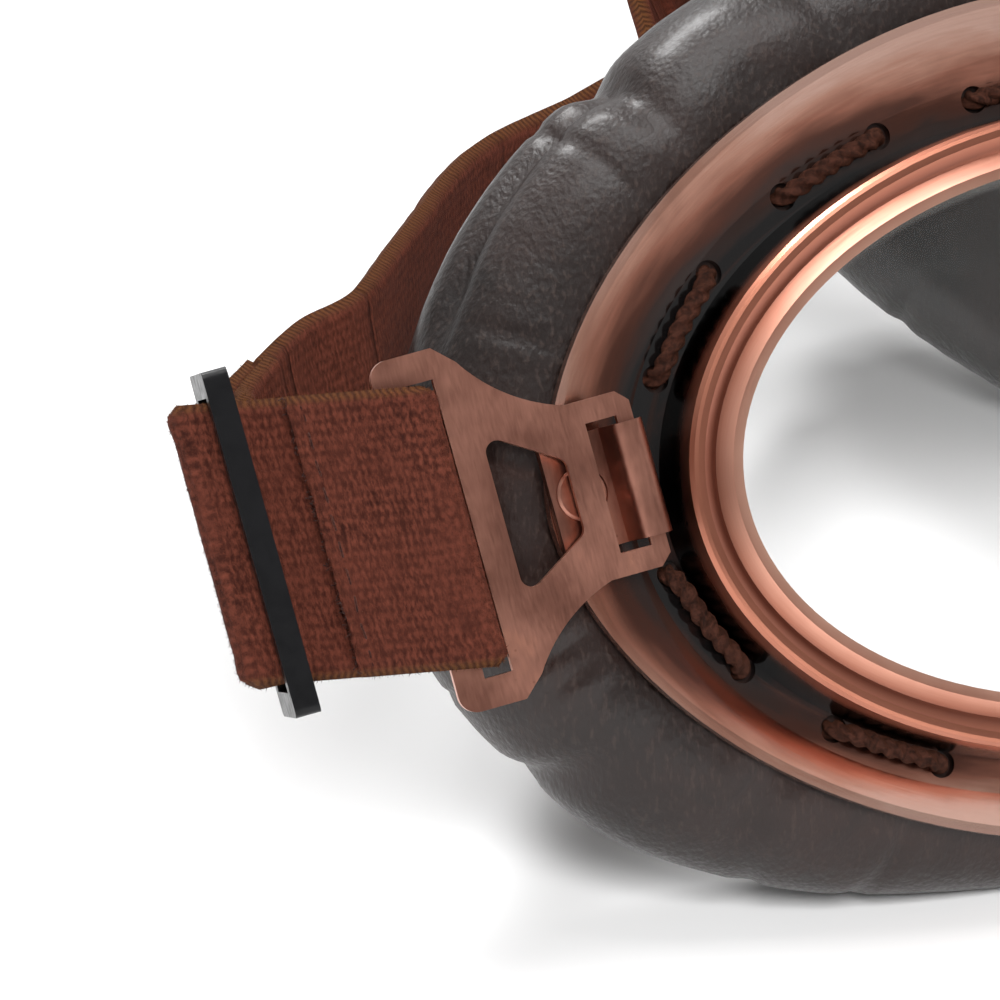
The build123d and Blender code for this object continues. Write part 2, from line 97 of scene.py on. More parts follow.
# nodes for finishes, shapes and the world are all made here; settings are set before sockets
def addNode(tree, kind, sockets=None, stops=None, **settings):
    made = tree.nodes.new(kind)
    made.location = (180 * (len(tree.nodes) % 12), -160 * (len(tree.nodes) // 12))
    for name, setting in settings.items():
        setattr(made, name, setting)
    if stops:
        ramp = made.color_ramp
        while len(ramp.elements) < len(stops):
            ramp.elements.new(0.5)
        for element, (place, colour) in zip(ramp.elements, stops):
            element.position = place
            element.color = colour
    for entry, thing in (sockets or {}).items():
        feed(tree, made.inputs[entry], thing)
    return made


# a socket takes a Value, a socket, a node's first output or a plain value; None leaves it be
def feed(tree, entry, thing):
    source = getattr(thing, "socket", thing)
    if isinstance(source, bpy.types.Node):
        source = source.outputs[0]
    if isinstance(source, bpy.types.NodeSocket):
        tree.links.new(source, entry)
    elif source is not None:
        entry.default_value = source


# a shader socket that adds up like a number
class Value:
    def __init__(self, finish, socket):
        self.finish = finish
        self.socket = socket

    def do(self, operation, *others):
        return self.finish.math(operation, self, *others)

    def swapped(self, operation, other):
        return self.finish.math(operation, other, self)

    def __abs__(self):
        return self.do("ABSOLUTE")

    __add__ = __radd__ = lambda self, other: self.do("ADD", other)
    __mul__ = __rmul__ = lambda self, other: self.do("MULTIPLY", other)
    __sub__ = lambda self, other: self.do("SUBTRACT", other)
    __rsub__ = lambda self, other: self.swapped("SUBTRACT", other)
    __truediv__ = lambda self, other: self.do("DIVIDE", other)
    __rtruediv__ = lambda self, other: self.swapped("DIVIDE", other)
    __pow__ = lambda self, other: self.do("POWER", other)
    __rpow__ = lambda self, other: self.swapped("POWER", other)

    def wave(self):
        return self.do("SINE") * 0.5 + 0.5

    def between(self, low, high, start=0.0, end=1.0):
        return self.finish.value("Result", "ShaderNodeMapRange", {
            "Value": self, "From Min": low, "From Max": high, "To Min": start, "To Max": end,
        }, interpolation_type="SMOOTHSTEP")


class Finish:
    def __init__(self, name, plain):
        self.material = bpy.data.materials.new(name)
        self.material.use_nodes = True
        self.tree = self.material.node_tree
        self.shader = self.tree.nodes["Principled BSDF"]
        for socket, number in plain.items():
            self.shader.inputs[socket].default_value = number

    def value(self, out, kind, sockets=None, **settings):
        return Value(self, addNode(self.tree, kind, sockets, **settings).outputs[out])

    def math(self, operation, *terms):
        return self.value(0, "ShaderNodeMath", dict(enumerate(terms)), operation=operation)

    def objectPlace(self):
        return self.value("Object", "ShaderNodeTexCoord")

    def split(self, vector):
        parts = addNode(self.tree, "ShaderNodeSeparateXYZ", {0: vector})
        return [Value(self, out) for out in parts.outputs]

    def joined(self, x, y, z):
        return self.value(0, "ShaderNodeCombineXYZ", {0: x, 1: y, 2: z})

    # millimetres in a frame of the right side; the left side is folded onto it
    def placeIn(self, matrix):
        x, y, z = self.split(self.objectPlace())
        return self.value("Vector", "ShaderNodeMapping", {
            "Vector": self.joined(-1 * abs(x), y, z), "Location": matrix.to_translation() * mm,
            "Rotation": matrix.to_euler("XYZ"), "Scale": (mm, mm, mm),
        }, vector_type="TEXTURE")

    def noise(self, vector, scale, detail=3.0, rough=0.55, distortion=0.0):
        return self.value("Fac", "ShaderNodeTexNoise", {
            "Vector": vector, "Scale": scale, "Detail": detail, "Roughness": rough,
            "Distortion": distortion,
        })

    def cells(self, vector, scale, smooth=None):
        sockets = {"Vector": vector, "Scale": scale}
        if smooth is None:
            return self.value("Distance", "ShaderNodeTexVoronoi", sockets)
        sockets["Smoothness"] = smooth
        return self.value("Distance", "ShaderNodeTexVoronoi", sockets, feature="SMOOTH_F1")

    def mix(self, share, first, second):
        return self.value(2, "ShaderNodeMix", {0: share, 6: first, 7: second}, data_type="RGBA")

    def bands(self, value, stops):
        return self.value("Color", "ShaderNodeValToRGB", {0: value}, stops=stops)

    def relief(self, height, depth, below=None):
        return self.value("Normal", "ShaderNodeBump", {
            "Distance": depth * mm, "Height": height, "Normal": below,
        })

    def ends(self, tone, rough=None, normal=None, **others):
        outputs = {"Base Color": tone, "Roughness": rough, "Normal": normal, **others}
        for name, thing in outputs.items():
            feed(self.tree, self.shader.inputs[name], thing)
        return self.material


def paint(red, green, blue):
    def linear(channel):
        share = channel / 255
        return share / 12.92 if share <= 0.04045 else ((share + 0.055) / 1.055) ** 2.4
    return (linear(red), linear(green), linear(blue), 1.0)


def grey(level):
    return (level, level, level, 1)


copper = {
    "bright": paint(214, 148, 122), "middle": paint(158, 92, 70), "deep": paint(92, 48, 35),
    "soot": paint(12, 10, 10), "rose": paint(188, 122, 101),
}


# a place on a cup, how far outside the lens opening it lies, and its parts and reach
def onOval(finish):
    place = finish.placeIn(cupFrame())
    x, y, z = finish.split(place)
    ratio = ((x / lensSize["halfW"]) ** 2 + (z / lensSize["halfH"]) ** 2) ** 0.5
    reach = (x * x + z * z) ** 0.5
    return place, reach - reach / ratio, (x, y, z, reach)


def brushedRound(finish, offset, parts, fine=7.0):
    x, y, z, reach = parts
    return finish.noise(finish.joined(x / reach * 5, z / reach * 5, offset * fine), 1.0, 4.0, 0.7)


bezelLook = {
    "shader": {"Metallic": 1.0, "Coat Weight": 0.3, "Coat Roughness": 0.2},
    "across": 6, "rough": (0.3, 0.4), "relief": 0.008, "seat": (3.6, 4.6), "seatBack": (1.6, 3.6),
    # the bands paint a highlight along the inner lip and painted shade in the valley across the middle
    "bands": [
        (0.0, paint(228, 176, 154)), (0.16, paint(212, 154, 132)), (0.34, paint(164, 106, 86)),
        (0.44, paint(130, 80, 64)), (0.58, paint(166, 104, 83)), (0.8, paint(188, 122, 98)),
        (0.95, copper["rose"]),
    ],
}


def bezelFinish():
    made = Finish("bezelCopper", bezelLook["shader"])
    place, offset, parts = onOval(made)
    streak = brushedRound(made, offset, parts)
    blotch = made.noise(place, 0.09, 3.0)
    tone = made.bands(offset / bezelLook["across"] + (streak - 0.5) * 0.05, bezelLook["bands"])
    tone = made.mix(blotch.between(0.35, 0.75) * 0.3, tone, copper["middle"])
    low = parts[1].between(*bezelLook["seatBack"]) * offset.between(*bezelLook["seat"])
    tone = made.mix(low, tone, copper["soot"])
    rough = streak.between(0.3, 0.7, *bezelLook["rough"]) - low * 0.16
    return made.ends(tone, rough, made.relief(streak, bezelLook["relief"]))


# soot by the bezel, bright copper at the rim, partly worn and partly a painted highlight; a painted
# reflection lightens one side and the foot
plateLook = {
    "shader": {"Coat Weight": 0.55, "Coat Roughness": 0.07},
    "start": 5.6, "across": 9.6, "patchy": 0.55, "paintedLightSide": 0.46, "paintedLightFoot": 0.36, "relief": 0.006,
    "bands": [
        (0.16, copper["soot"]), (0.34, paint(44, 28, 23)), (0.52, paint(106, 63, 49)),
        (0.7, paint(176, 115, 94)), (0.86, paint(216, 160, 138)), (1.0, paint(240, 194, 176)),
    ],
}


def plateFinish():
    made = Finish("plateCopper", plateLook["shader"])
    place, offset, parts = onOval(made)
    streak = brushedRound(made, offset, parts, 4.0)
    x, y, z, reach = parts
    slow = made.noise(made.joined(x / reach * 1.7, z / reach * 1.7, offset * 0.22), 1.6, 3.0, 0.55)
    blotch = made.noise(place, 0.1, 4.0, 0.6)
    # painted reflection: the plate is lighter across one side and towards the foot
    wearAndPaintedLight = x.between(-42, 0) * plateLook["paintedLightSide"] + (z * -1).between(4, 26) * plateLook["paintedLightFoot"]
    spread = (offset - plateLook["start"]) / plateLook["across"] + (slow - 0.5) * plateLook["patchy"]
    spread = spread + (streak - 0.5) * 0.07 + (wearAndPaintedLight - 0.13)
    tone = made.bands(spread, plateLook["bands"])
    tone = made.mix(blotch.between(0.5, 0.8) * 0.25, tone, copper["deep"])
    shade = spread.between(0.18, 0.5)
    rough = shade * 0.13 + streak * 0.09 + 0.07
    bump = made.relief(streak * shade, plateLook["relief"])
    return made.ends(tone, rough, bump, Metallic=shade * 0.8 + 0.2)


fittingLook = {
    "shader": {"Metallic": 1.0, "Coat Weight": 0.15, "Coat Roughness": 0.25},
    # edge is a painted highlight for the buckle's edge walls
    "rough": (0.34, 0.42), "relief": 0.006, "edge": paint(226, 160, 134),
    "bands": [
        (0.24, paint(106, 70, 59)), (0.42, paint(146, 99, 84)), (0.6, paint(182, 128, 110)),
        (0.82, copper["bright"]),
    ],
}


def fittingFinish(name, matrix, stretch, lift=0.0, thick=0.0):
    made = Finish(name, fittingLook["shader"])
    place = made.placeIn(matrix)
    x, y, z = made.split(place)
    brushed = made.joined(x * stretch[0], y * stretch[1], z * stretch[2])
    streak = made.noise(brushed, 1.0, 3.0, 0.5)
    blotch = made.noise(place, 0.13, 3.0, 0.5)
    tone = made.bands(streak * 0.14 + blotch * 0.86 + lift, fittingLook["bands"])
    speck = made.cells(place, 0.9).between(0.0, 0.16, 1.0, 0.0) * blotch.between(0.55, 0.7)
    tone = made.mix(speck * 0.5, tone, copper["deep"])
    # the edge walls take the painted highlight, lighter than the faces
    if thick:
        wearAndPaintedLight = 1 - abs(y).between(thick / 2 - 0.12, thick / 2 - 0.02)
        tone = made.mix(wearAndPaintedLight * 0.75, tone, fittingLook["edge"])
    rough = streak.between(0.3, 0.7, *fittingLook["rough"])
    return made.ends(tone, rough, made.relief(streak, fittingLook["relief"]))


leatherLook = {
    "shader": {"Specular IOR Level": 0.34, "Coat Weight": 0.14, "Coat Roughness": 0.2},
    # fold is painted shade for the creases, streakSheen a painted sheen on the grain streaks
    "dark": paint(19, 11, 9), "pale": paint(34, 22, 19), "fold": paint(16, 11, 10),
    "streakSheen": paint(84, 70, 64), "creaseDeep": 0.16, "grainDeep": 0.05, "streakDeep": 0.09,
}


def leatherFinish():
    made = Finish("padLeather", leatherLook["shader"])
    place = made.objectPlace()
    x, y, z = made.split(place)
    streaks = made.noise(made.joined(x, y, z * 0.28), 2100, 4.0, 0.6)
    grain = made.cells(made.joined(x, y, z * 0.6), 1900, 0.4)
    crease = made.noise(place, 120, 4.0, 0.55, 1.6)
    wearAndPaintedLight = made.noise(place, 40, 4.0, 0.6)
    tone = made.mix(wearAndPaintedLight.between(0.35, 0.7), leatherLook["dark"], leatherLook["pale"])
    # painted shade in the creases, then a painted sheen along the grain streaks
    tone = made.mix(crease.between(0.56, 0.72) * 0.4, tone, leatherLook["fold"])
    tone = made.mix(streaks.between(0.5, 0.72) * 0.2, tone, leatherLook["streakSheen"])
    rough = wearAndPaintedLight.between(0.3, 0.7, 0.3, 0.4) + streaks.between(0.35, 0.7) * 0.16
    soft = made.relief(crease, leatherLook["creaseDeep"])
    skin = made.relief(grain, leatherLook["grainDeep"], soft)
    fine = made.relief(streaks, leatherLook["streakDeep"], skin)
    return made.ends(tone, rough, fine)


# ribs and loops are millimetres across the weave
webbingLook = {
    "shader": {
        "Specular IOR Level": 0.15, "Sheen Weight": 0.22, "Sheen Roughness": 0.45,
        "Sheen Tint": paint(170, 96, 74),
    },
    "rib": 0.92, "loop": 0.6, "edge": (11.3, 12.1), "relief": 0.26,
    "dark": paint(41, 18, 13), "pale": paint(106, 56, 43), "faded": paint(84, 43, 33),
    "edgeDark": paint(48, 30, 16), "edgePale": paint(96, 62, 32),
}


def webbingFinish():
    made = Finish("strapWebbing", webbingLook["shader"])
    weave = made.value("Vector", "ShaderNodeAttribute", attribute_name="weave")
    along, across, skip = made.split(weave)
    drift = (made.noise(weave, 0.35, 2.0) - 0.5) * 0.9
    row, rank = along + drift, across + drift * 0.5
    ribs = rank * (pi * 2 / webbingLook["rib"])
    loops = (row * (pi * 2 / webbingLook["loop"]) + ribs.do("SINE") * 0.7).wave()
    knot = made.cells(made.joined(row * 2.1, rank * 0.9, 0), 1.35, 0.3)
    fuzz = made.noise(made.joined(along * 2.2, across * 0.8, skip), 3.2, 5.0, 0.75)
    height = ribs.wave() * 0.1 + loops * 0.12 + (1 - knot) * 0.36 + fuzz * 0.96
    broad = made.noise(weave, 0.14, 4.0, 0.6)
    # the tone follows the weave's height: painted shade darkens the hollows, with random fibre tone
    # mixed in
    tone = made.mix(height.between(0.5, 1.15), webbingLook["dark"], webbingLook["pale"])
    tone = made.mix(broad.between(0.35, 0.7) * 0.4, tone, webbingLook["faded"])
    edge = abs(across).between(*webbingLook["edge"])
    thread = made.mix(loops, webbingLook["edgeDark"], webbingLook["edgePale"])
    tone = made.mix(edge * 0.85, tone, thread)
    rough = fuzz.between(0.3, 0.7, 0.85, 1.0)
    return made.ends(tone, rough, made.relief(height, webbingLook["relief"]))


laceLook = {
    "shader": {
        "Specular IOR Level": 0.12, "Sheen Weight": 0.12, "Sheen Roughness": 0.5,
        "Sheen Tint": paint(150, 92, 64),
    },
    "dark": paint(22, 12, 9), "pale": paint(72, 43, 34), "faded": paint(52, 29, 22), "relief": 0.3,
}


def laceFinish():
    made = Finish("laceCord", laceLook["shader"])
    place = made.objectPlace()
    fibre = made.noise(place, 1500, 5.0, 0.7, 0.6)
    slow = made.noise(place, 160, 3.0)
    tone = made.mix(fibre.between(0.3, 0.75), laceLook["dark"], laceLook["pale"])
    tone = made.mix(slow.between(0.4, 0.7) * 0.3, tone, laceLook["faded"])
    rough = fibre.between(0.3, 0.7, 0.75, 0.95)
    return made.ends(tone, rough, made.relief(fibre, laceLook["relief"]))


def threadFinish(name, dark, pale):
    made = Finish(name, {"Roughness": 0.85, "Specular IOR Level": 0.15, "Sheen Weight": 0.1})
    fibre = made.noise(made.objectPlace(), 3200, 3.0, 0.6)
    tone = made.mix(fibre.between(0.35, 0.7), dark, pale)
    return made.ends(tone, None, made.relief(fibre, 0.1))


def enamelFinish():
    made = Finish("sliderEnamel", {"Specular IOR Level": 0.25})
    place = made.objectPlace()
    orange = made.noise(place, 900, 3.0)
    chip = made.noise(place, 330, 5.0, 0.7).between(0.72, 0.76)
    tone = made.mix(made.noise(place, 120, 3.0), paint(6, 6, 7), paint(11, 11, 13))
    tone = made.mix(chip * 0.4, tone, paint(40, 40, 40))
    rough = orange.between(0.3, 0.7, 0.3, 0.44) + chip * 0.15
    return made.ends(tone, rough, made.relief(orange, 0.05))


def rubberFinish():
    made = Finish("gasketRubber", {"Roughness": 0.6, "Specular IOR Level": 0.35})
    grit = made.noise(made.objectPlace(), 1800, 4.0)
    tone = made.mix(grit, paint(16, 15, 15), paint(34, 32, 31))
    rough = grit.between(0.3, 0.7, 0.5, 0.7)
    return made.ends(tone, rough, made.relief(grit, 0.06))


def steelFinish():
    made = Finish("retainerSteel", {"Metallic": 1.0, "Roughness": 0.35})
    place, offset, parts = onOval(made)
    streak = brushedRound(made, offset, parts, 9.0)
    tone = made.mix(streak, paint(120, 116, 112), paint(168, 164, 158))
    rough = streak.between(0.3, 0.7, 0.28, 0.42)
    return made.ends(tone, rough, made.relief(streak, 0.03))


def lensFinish():
    made = Finish("lensGlass", {"Roughness": 0.02, "IOR": 1.5, "Specular IOR Level": 0.5})
    place, offset, parts = onOval(made)
    smear = made.noise(place, 0.12, 5.0, 0.6).between(0.55, 0.85)
    clear = smear * 0.012 + offset.between(-1.0, 1.2) * 0.3 + 0.012
    tone = made.mix(offset.between(-0.8, 1.0), paint(236, 240, 238), paint(120, 140, 132))
    return made.ends(tone, smear.between(0.0, 1.0, 0.02, 0.12), Alpha=clear)


def waddingFinish():
    made = Finish("padWadding", {"Roughness": 0.95, "Specular IOR Level": 0.1, "Sheen Weight": 0.3})
    place = made.objectPlace()
    felt = made.noise(place, 900, 6.0, 0.7, 0.8)
    tone = made.mix(felt, paint(150, 132, 104), paint(196, 180, 150))
    return made.ends(tone, None, made.relief(felt, 0.5))


# geometry nodes, for what repeats or follows a path
class Making:
    def __init__(self, name):
        self.tree = bpy.data.node_groups.new(name, "GeometryNodeTree")
        for way in ("INPUT", "OUTPUT"):
            self.tree.interface.new_socket("Geometry", in_out=way, socket_type="NodeSocketGeometry")
        self.start = self.tree.nodes.new("NodeGroupInput")
        self.end = self.tree.nodes.new("NodeGroupOutput")
        self.numbers = {}

    def given(self):
        return self.start.outputs["Geometry"]

    def entry(self, name, number):
        kind = "NodeSocketInt" if isinstance(number, int) else "NodeSocketFloat"
        made = self.tree.interface.new_socket(name, in_out="INPUT", socket_type=kind)
        self.numbers[made.identifier] = number
        return self.start.outputs[name]

    def node(self, kind, sockets=None, **settings):
        return addNode(self.tree, kind, sockets, **settings)

    def math(self, operation, *terms):
        return self.node("ShaderNodeMath", dict(enumerate(terms)), operation=operation)

    def finish(self, geometry, material):
        real = self.node("GeometryNodeRealizeInstances", {0: geometry})
        painted = self.node("GeometryNodeSetMaterial", {"Geometry": real, "Material": material})
        self.tree.links.new(painted.outputs[0], self.end.inputs[0])

    def makeOn(self, source, name, smooth=False):
        modifier = source.modifiers.new("making", "NODES")
        modifier.node_group = self.tree
        for identifier, number in self.numbers.items():
            modifier[identifier] = number
        bpy.context.view_layer.update()
        graph = bpy.context.evaluated_depsgraph_get()
        mesh = bpy.data.meshes.new_from_object(source.evaluated_get(graph))
        mesh.name = name
        bpy.data.objects.remove(source)
        if smooth:
            for face in mesh.polygons:
                face.use_smooth = True
        return placed(name, mesh)


def placed(name, data):
    made = bpy.data.objects.new(name, data)
    bpy.context.scene.collection.objects.link(made)
    return made


def pathOf(name, lines, kind="POLY"):
    curve = bpy.data.curves.new(name, "CURVE")
    curve.dimensions = "3D"
    for line in lines:
        spline = curve.splines.new(kind)
        spline.points.add(len(line) - 1)
        for point, place in zip(spline.points, line):
            point.co = (*place, 1)
        if kind == "NURBS":
            spline.order_u = 3
            spline.use_endpoint_u = True
    return placed(name, curve)


def meshPiece(name, points, faces, material, smooth=True):
    mesh = bpy.data.meshes.new(name)
    mesh.from_pydata([tuple(p) for p in points], [], faces)
    mesh.materials.append(material)
    for face in mesh.polygons:
        face.use_smooth = smooth
    mesh.validate()
    mesh.update()
    return placed(name, mesh)


def facingOut(made):
    work = bmesh.new()
    work.from_mesh(made.data)
    bmesh.ops.recalc_face_normals(work, faces=work.faces)
    work.to_mesh(made.data)
    work.free()


def softened(made, width):
    bevel = made.modifiers.new("softEdge", "BEVEL")
    bevel.width = width * mm
    bevel.segments = 2
    bevel.limit_method = "ANGLE"
    bevel.angle_limit = radians(40)


pad = {
    "halfW": 51, "halfH": 37.2, "shiftX": -1, "shiftZ": 1.6, "power": 1.8, "front": 7.3,
    "hemInset": 1.5, "innerInset": 9.5, "swell": 2, "jowl": 2.6,
    "depth": {"temple": 25.5, "brow": 21.2, "nose": 9.5, "cheek": 19.3},
    "bulge": {"temple": 9.4, "brow": 9, "nose": -4.5, "cheek": 2.2},
    "around": 480, "across": 72,
    # a long fold below the brow, and the pinches at the brow and the jowl, by their angles
    "foldFrom": 127, "foldTo": 163, "foldShare": 0.19, "browPinch": 129, "jowlPinch": 209,
    "seamShare": 0.43, "seed": {"right": 3.7, "left": 9.1}, "wadding": 3.2,
    # how far each kind of fold lifts or dips the leather
    "gather": 0.26, "seamSwell": 0.25, "seamDip": 0.7, "roll": 0.55, "rollDip": 1.05, "rollEdge": 0.2,
    "browDip": 1.5, "browSwell": 0.75, "jowlDip": 1.2, "jowlSwell": 0.8,
    "slack": 0.5, "crease": 0.35, "fine": 0.05,
}


def rimPoint(angle):
    c, s = cos(angle), sin(angle)
    share = 2 / pad["power"]
    x = copysign(pad["halfW"] * abs(c) ** share, c) + pad["shiftX"]
    z = copysign(pad["halfH"] * abs(s) ** share, s) + pad["shiftZ"]
    out = Vector((c / pad["halfW"], 0, s / pad["halfH"])).normalized()
    return Vector((x, 0, z)), out


def roundIt(angle, sizes):
    c, s = cos(angle), sin(angle)
    side = sizes["nose"] if c > 0 else sizes["temple"]
    end = sizes["brow"] if s > 0 else sizes["cheek"]
    share = abs(c) if c > 0 else c * c
    return side * share + end * (1 - share)


def arcThrough(first, middle, last, count):
    ax, ay, bx, by, cx, cy = *first, *middle, *last
    area = 2 * (ax * (by - cy) + bx * (cy - ay) + cx * (ay - by))
    a2, b2, c2 = ax * ax + ay * ay, bx * bx + by * by, cx * cx + cy * cy
    ux = (a2 * (by - cy) + b2 * (cy - ay) + c2 * (ay - by)) / area
    uy = (a2 * (cx - bx) + b2 * (ax - cx) + c2 * (bx - ax)) / area
    start = atan2(ay - uy, ax - ux)
    halfway = atan2(by - uy, bx - ux)
    end = atan2(cy - uy, cx - ux)
    forward = (halfway - start) % (2 * pi) < (end - start) % (2 * pi)
    sweep = (end - start) % (2 * pi) if forward else -((start - end) % (2 * pi))
    radius = hypot(ax - ux, ay - uy)
    angles = [start + sweep * k / count for k in range(count)]
    return [(ux + radius * cos(angle), uy + radius * sin(angle)) for angle in angles]


def padSection(angle):
    depth, bulge = roundIt(angle, pad["depth"]), roundIt(angle, pad["bulge"])
    bulge += pad["jowl"] * 2 * max(0, -cos(angle)) * max(0, -sin(angle))
    shoulder, inner = bulge * 0.45 - pad["hemInset"], -pad["innerInset"]
    outerFoot, outerMid = (-pad["hemInset"], 0), (bulge, depth * 0.45)
    outerBack, crown = (shoulder, depth * 0.86), (shoulder / 2 + inner / 2, depth)
    innerBack, innerMid = (inner, depth * 0.82), (inner - pad["swell"], depth * 0.45)
    count = pad["across"] // 3
    line = arcThrough(outerFoot, outerMid, outerBack, count + 4)
    line += arcThrough(outerBack, crown, innerBack, count - 6)
    line += arcThrough(innerBack, innerMid, (inner, 1.1), count - 2)
    return line, depth


def hump(value, middle, width):
    return exp(-((value - middle) / width) ** 2)


def step01(value, low, high):
    share = min(1, max(0, (value - low) / (high - low)))
    return share * share * (3 - 2 * share)


def padFolds(angle, share, depth, seed):
    bearing = degrees(angle) % 360
    flat = Vector((cos(angle), sin(angle), 0))
    # soft gathers where the leather is drawn in behind the rim
    wander = noise.noise(flat * 4 + Vector((0, 0, seed)))
    gather = sin(angle * 27 + wander * 7) * 0.5 + sin(angle * 43 + wander * 11) * 0.3
    strength = max(0.1, 0.5 + 0.9 * noise.noise(flat * 2.6 + Vector((4, 1, seed))))
    lift = gather * hump(share, 0.075, 0.06) * pad["gather"] * strength
    # the seam behind the widest line
    beside = hump(share, pad["seamShare"], 0.035)
    lift += pad["seamSwell"] * beside - pad["seamDip"] * hump(share, pad["seamShare"], 0.009)
    lift += 0.07 * beside * sin(angle * 96 + wander * 5)
    # the long fold: the leather rolls over in front of a second, slimmer roll
    fold = step01(bearing, pad["foldFrom"], pad["foldFrom"] + 6)
    fold *= 1 - step01(bearing, pad["foldTo"] - 10, pad["foldTo"])
    at = pad["foldShare"] + 0.012 * sin(angle * 6)
    roll = pad["roll"] * hump(share, at + 0.045, 0.03) - pad["rollDip"] * hump(share, at, 0.011)
    lift += fold * (roll + pad["rollEdge"] * hump(share, at - 0.05, 0.04))
    # the pinches
    across = hump(share, 0.22, 0.11)
    lift -= pad["browDip"] * hump(bearing, pad["browPinch"], 2.2) * across
    lift += pad["browSwell"] * hump(bearing, pad["browPinch"] - 12, 9) * across
    lift -= pad["jowlDip"] * hump(bearing + 18 * (share - 0.2), pad["jowlPinch"], 2.0) * across
    lift += pad["jowlSwell"] * hump(bearing, pad["jowlPinch"] + 9, 8) * across
    # slack dents and soft creases
    lift += pad["slack"] * noise.noise(Vector((flat.x * 2.4, flat.y * 2.4, share * 2.4 + seed)))
    ridge = 1 - abs(noise.noise(Vector((flat.x * 4.6, flat.y * 4.6, share * 1.6 + seed * 2))))
    lift -= pad["crease"] * max(0, ridge - 0.88) / 0.12 * min(1, depth / 18)
    return lift + pad["fine"] * noise.noise(Vector((flat.x * 26, flat.y * 26, share * 9 + seed)))


# the way the section runs at a step, and a place on a cup from its offset and depth
def alongAt(line, step):
    return (Vector(line[min(step + 1, len(line) - 1)]) - Vector(line[max(step - 1, 0)])).normalized()


def onPad(rim, outset, back, sideName):
    base, out = rim
    place = base + out * outset + Vector((0, pad["front"] + back, 0))
    return inRow(cupFrame(), place, sideName)


# a skin over rows of points, each row a closed loop; open ends are capped
def gridPiece(name, points, size, material, closed):
    faces, rows = [], len(points) // size
    for row in range(rows if closed else rows - 1):
        low, high = row * size, (row + 1) % rows * size
        for step in range(size):
            after = (step + 1) % size
            faces.append((low + step, high + step, high + after, low + after))
    if not closed:
        faces += [tuple(range(size)), tuple(reversed(range(len(points) - size, len(points))))]
    made = meshPiece(name, points, faces, material)
    facingOut(made)
    return made


# the pad's sections, evenly round the cup
def padSections(count, closing=0):
    for ring in range(count + closing):
        angle = 2 * pi * ring / count
        yield angle, rimPoint(angle), *padSection(angle)


def makePad(sideName, leather):
    inner, bore = pad["innerInset"], pad["innerInset"] + 1.4
    hem = [(-inner, 1.1), (-bore, 1.1), (-bore, 0.05), (-inner, 0.03), (-5, 0.03)]
    points = []
    for angle, rim, line, depth in padSections(pad["around"]):
        soft = len(line)
        for step, (outset, back) in enumerate(line + hem):
            if step < soft:
                along = alongAt(line, step)
                fade = min(1, step / 3) * min(1, (soft - step) / 5)
                move = padFolds(angle, step / soft, depth, pad["seed"][sideName]) * fade
                outset, back = outset + along.y * move, back - along.x * move
            row = onPad(rim, outset, max(back, 0.02), sideName)
            row.z = max(row.z, 0.02 * mm)
            points.append(row)
    made = gridPiece("leatherSkin_" + sideName, points, soft + len(hem), leather, True)
    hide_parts("leather_pad_" + sideName)
    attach(made, sideName + "_cup")


def makeWadding(sideName, wadding):
    inset = pad["wadding"]
    points = []
    for angle, rim, line, depth in padSections(pad["around"] // 4):
        steps = range(0, len(line), 3)
        for step in steps:
            along = alongAt(line, step)
            outset, back = line[step][0] - along.y * inset, line[step][1] + along.x * inset
            points.append(onPad(rim, outset, max(back, inset), sideName))
    made = gridPiece("padWadding_" + sideName, points, len(steps), wadding, True)
    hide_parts("pad_foam_" + sideName)
    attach(made, sideName + "_cup")


# instances on points, each leaning a little its own way
def leaning(work, points, lean, seed, sockets):
    spread = work.node("GeometryNodeInstanceOnPoints", {"Points": points, **sockets})
    wobble = work.node("FunctionNodeRandomValue", {
        0: (-lean, -lean, 0), 1: (lean, lean, 0), "Seed": seed,
    }, data_type="FLOAT_VECTOR")
    return work.node("GeometryNodeRotateInstances", {"Instances": spread, "Rotation": wobble})


# stitches set along a line: short swollen pins
def stitchRow(name, places, material, length, thick, gap, seed):
    work = Making(name + "Making")
    along = work.node("GeometryNodeCurveToPoints", {
        "Curve": work.given(), "Length": work.entry("Spacing", (length + gap) * mm),
    }, mode="LENGTH")
    body = work.node("GeometryNodeMeshCylinder", {
        "Vertices": 8, "Side Segments": 4, "Radius": work.entry("Thread radius", thick * mm / 2),
        "Depth": work.entry("Stitch length", length * mm),
    })
    tangent = {"Vector": along.outputs["Tangent"]}
    pins = leaning(work, along, 0.12, work.entry("Seed", seed), {
        "Instance": work.node("GeometryNodeSubdivisionSurface", {0: body}),
        "Rotation": work.node("FunctionNodeAlignRotationToVector", tangent, axis="Z"),
    })
    work.finish(pins, material)
    return work.makeOn(pathOf(name + "Path", [places]), name, smooth=True)


def padSeam(sideName, thread):
    places = []
    for angle, rim, line, depth in padSections(360, closing=1):
        at = pad["seamShare"] * len(line)
        low = int(at)
        outset, back = Vector(line[low]).lerp(Vector(line[low + 1]), at - low)
        along = (Vector(line[low + 1]) - Vector(line[low])).normalized()
        move = padFolds(angle, pad["seamShare"], depth, pad["seed"][sideName]) + 0.12
        row = onPad(rim, outset + along.y * move, back - along.x * move, sideName)
        row.z = max(row.z, 0.35 * mm)
        places.append(row)
    made = stitchRow("padSeam_" + sideName, places, thread, 2.3, 0.34, gap=1.1, seed=5)
    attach(made, sideName + "_cup")


